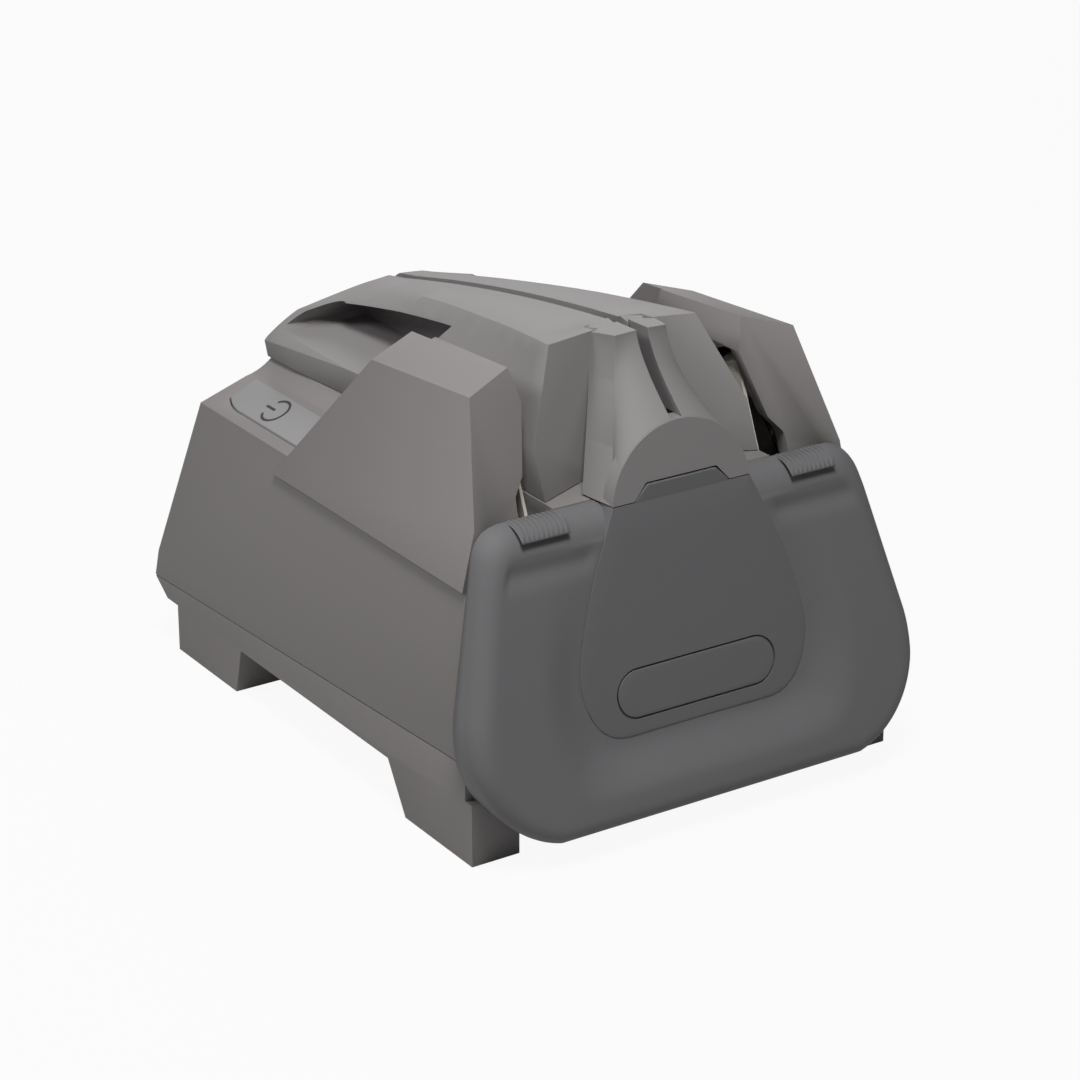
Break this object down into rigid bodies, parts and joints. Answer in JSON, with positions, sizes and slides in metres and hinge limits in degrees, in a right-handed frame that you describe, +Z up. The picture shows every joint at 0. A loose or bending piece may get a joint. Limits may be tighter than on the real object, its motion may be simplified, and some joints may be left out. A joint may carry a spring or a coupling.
{
  "type": "electric knife sharpener",
  "caption": "Countertop electric knife sharpener with two belt-driven sharpening slots, a lift-off knife guide, a pull-off belt cover and a push button on the deck.",
  "frame": {"origin": "middle of the footprint's bounding box on the surface it stands on", "axes": "+Z up, -Y towards the belt cover, X across the two knife slots"},
  "size_m": [0.1542, 0.2104, 0.1396],
  "materials": {
    "housing_plastic": "fine matte moulding",
    "guide_plastic": "fine matte and grained moulding",
    "cover_plastic": "satin moulding",
    "label_plastic": "satin moulding",
    "button_plastic": "fine matte moulding",
    "black_plastic": "moulded",
    "wheel_plastic": "moulded acetal",
    "foot_rubber": "moulded rubber",
    "drive_rubber": "moulded rubber",
    "screw_steel": "blackened",
    "plate_steel": "zinc plated",
    "motor_steel": "zinc plated",
    "axle_steel": "ground",
    "arm_steel": "zinc plated",
    "spring_steel": "drawn wire",
    "brass_metal": "sintered",
    "armature_copper": "enamelled copper and laminations",
    "magnet_ferrite": "sintered ferrite",
    "carbon": "pressed carbon",
    "ceramic": "fired ceramic",
    "abrasive_cloth": "coated cloth",
    "board_laminate": "glass laminate",
    "capacitor_sleeve": "shrink sleeve"
  },
  "bodies": {
    "housing": {"upper_housing": "housing_plastic", "lower_housing": "housing_plastic", "rubber_feet": "foot_rubber", "housing_screws": "screw_steel", "cord_inlet_bushing": "black_plastic", "button_spring": "spring_steel", "circuit_board": "board_laminate", "board_posts": "black_plastic", "push_switch": "black_plastic", "capacitor": "capacitor_sleeve", "drive_plate": "plate_steel", "drive_plate_posts": "black_plastic", "timing_belt": "drive_rubber", "motor_can": "motor_steel", "motor_magnets": "magnet_ferrite", "motor_end_bell": "black_plastic", "motor_bearings": "brass_metal", "motor_brushes": "carbon", "left_abrasive_belt": "abrasive_cloth", "left_wheel_axle": "axle_steel", "left_tension_spring": "spring_steel", "right_abrasive_belt": "abrasive_cloth", "right_wheel_axle": "axle_steel", "right_tension_spring": "spring_steel"},
    "guide": {"knife_guide": "guide_plastic", "guide_base_plate": "black_plastic", "hone_rods": "ceramic"},
    "cover": {"belt_cover": "cover_plastic", "label_plate": "label_plastic", "thumb_grips": "cover_plastic"},
    "button": {"power_button": "button_plastic"},
    "rotor": {"armature": "armature_copper", "motor_pulley": "brass_metal"},
    "left_wheel": {"left_drive_wheel": "wheel_plastic"},
    "right_wheel": {"right_drive_wheel": "wheel_plastic"},
    "left_arm": {"left_tension_arm": "arm_steel"},
    "right_arm": {"right_tension_arm": "arm_steel"},
    "left_roller": {"left_idler": "wheel_plastic"},
    "right_roller": {"right_idler": "wheel_plastic"}
  },
  "joints": [
    {"name": "guide_lift", "type": "slide", "parent": "housing", "child": "guide", "axis": [0, 0, 1], "range_m": [0, 0.06]},
    {"name": "cover_pull", "type": "slide", "parent": "housing", "child": "cover", "axis": [0, -1, 0], "range_m": [0, 0.06]},
    {"name": "button_press", "type": "slide", "parent": "housing", "child": "button", "axis": [0, 0, -1], "range_m": [0, 0.0014], "stiffness_N_per_m": 800, "springref_m": -0.0006, "deforming": ["button_spring"]},
    {"name": "rotor_spin", "type": "hinge", "parent": "housing", "child": "rotor", "pos_m": [0, -0.0449, 0.05346], "axis": [0, 0.9205, -0.3907], "continuous": true},
    {"name": "left_wheel_spin", "type": "hinge", "parent": "housing", "child": "left_wheel", "pos_m": [-0.0532, -0.07855, 0.04329], "axis": [0, 0.9205, -0.3907], "continuous": true},
    {"name": "right_wheel_spin", "type": "hinge", "parent": "housing", "child": "right_wheel", "pos_m": [0.0532, -0.07855, 0.04329], "axis": [0, 0.9205, -0.3907], "continuous": true},
    {"name": "left_arm_tilt", "type": "hinge", "parent": "housing", "child": "left_arm", "pos_m": [-0.0542, -0.05209, 0.08258], "axis": [0, 0.9205, -0.3907], "range_deg": [-1.5, 2], "stiffness_Nm_per_rad": 4, "deforming": ["left_abrasive_belt", "left_tension_spring"]},
    {"name": "right_arm_tilt", "type": "hinge", "parent": "housing", "child": "right_arm", "pos_m": [0.0542, -0.05209, 0.08258], "axis": [0, 0.9205, -0.3907], "range_deg": [-2, 1.5], "stiffness_Nm_per_rad": 4, "deforming": ["right_abrasive_belt", "right_tension_spring"]},
    {"name": "left_idler_spin", "type": "hinge", "parent": "left_arm", "child": "left_roller", "pos_m": [-0.0482, -0.04936, 0.11206], "axis": [0, 0.9205, -0.3907], "continuous": true},
    {"name": "right_idler_spin", "type": "hinge", "parent": "right_arm", "child": "right_roller", "pos_m": [0.0482, -0.04936, 0.11206], "axis": [0, 0.9205, -0.3907], "continuous": true}
  ],
  "couplings": [
    {"joint": "left_wheel_spin", "follows": "rotor_spin", "ratio": 0.625},
    {"joint": "right_wheel_spin", "follows": "rotor_spin", "ratio": 0.625},
    {"joint": "left_idler_spin", "follows": "rotor_spin", "ratio": 1.1058},
    {"joint": "right_idler_spin", "follows": "rotor_spin", "ratio": 1.1058}
  ]
}
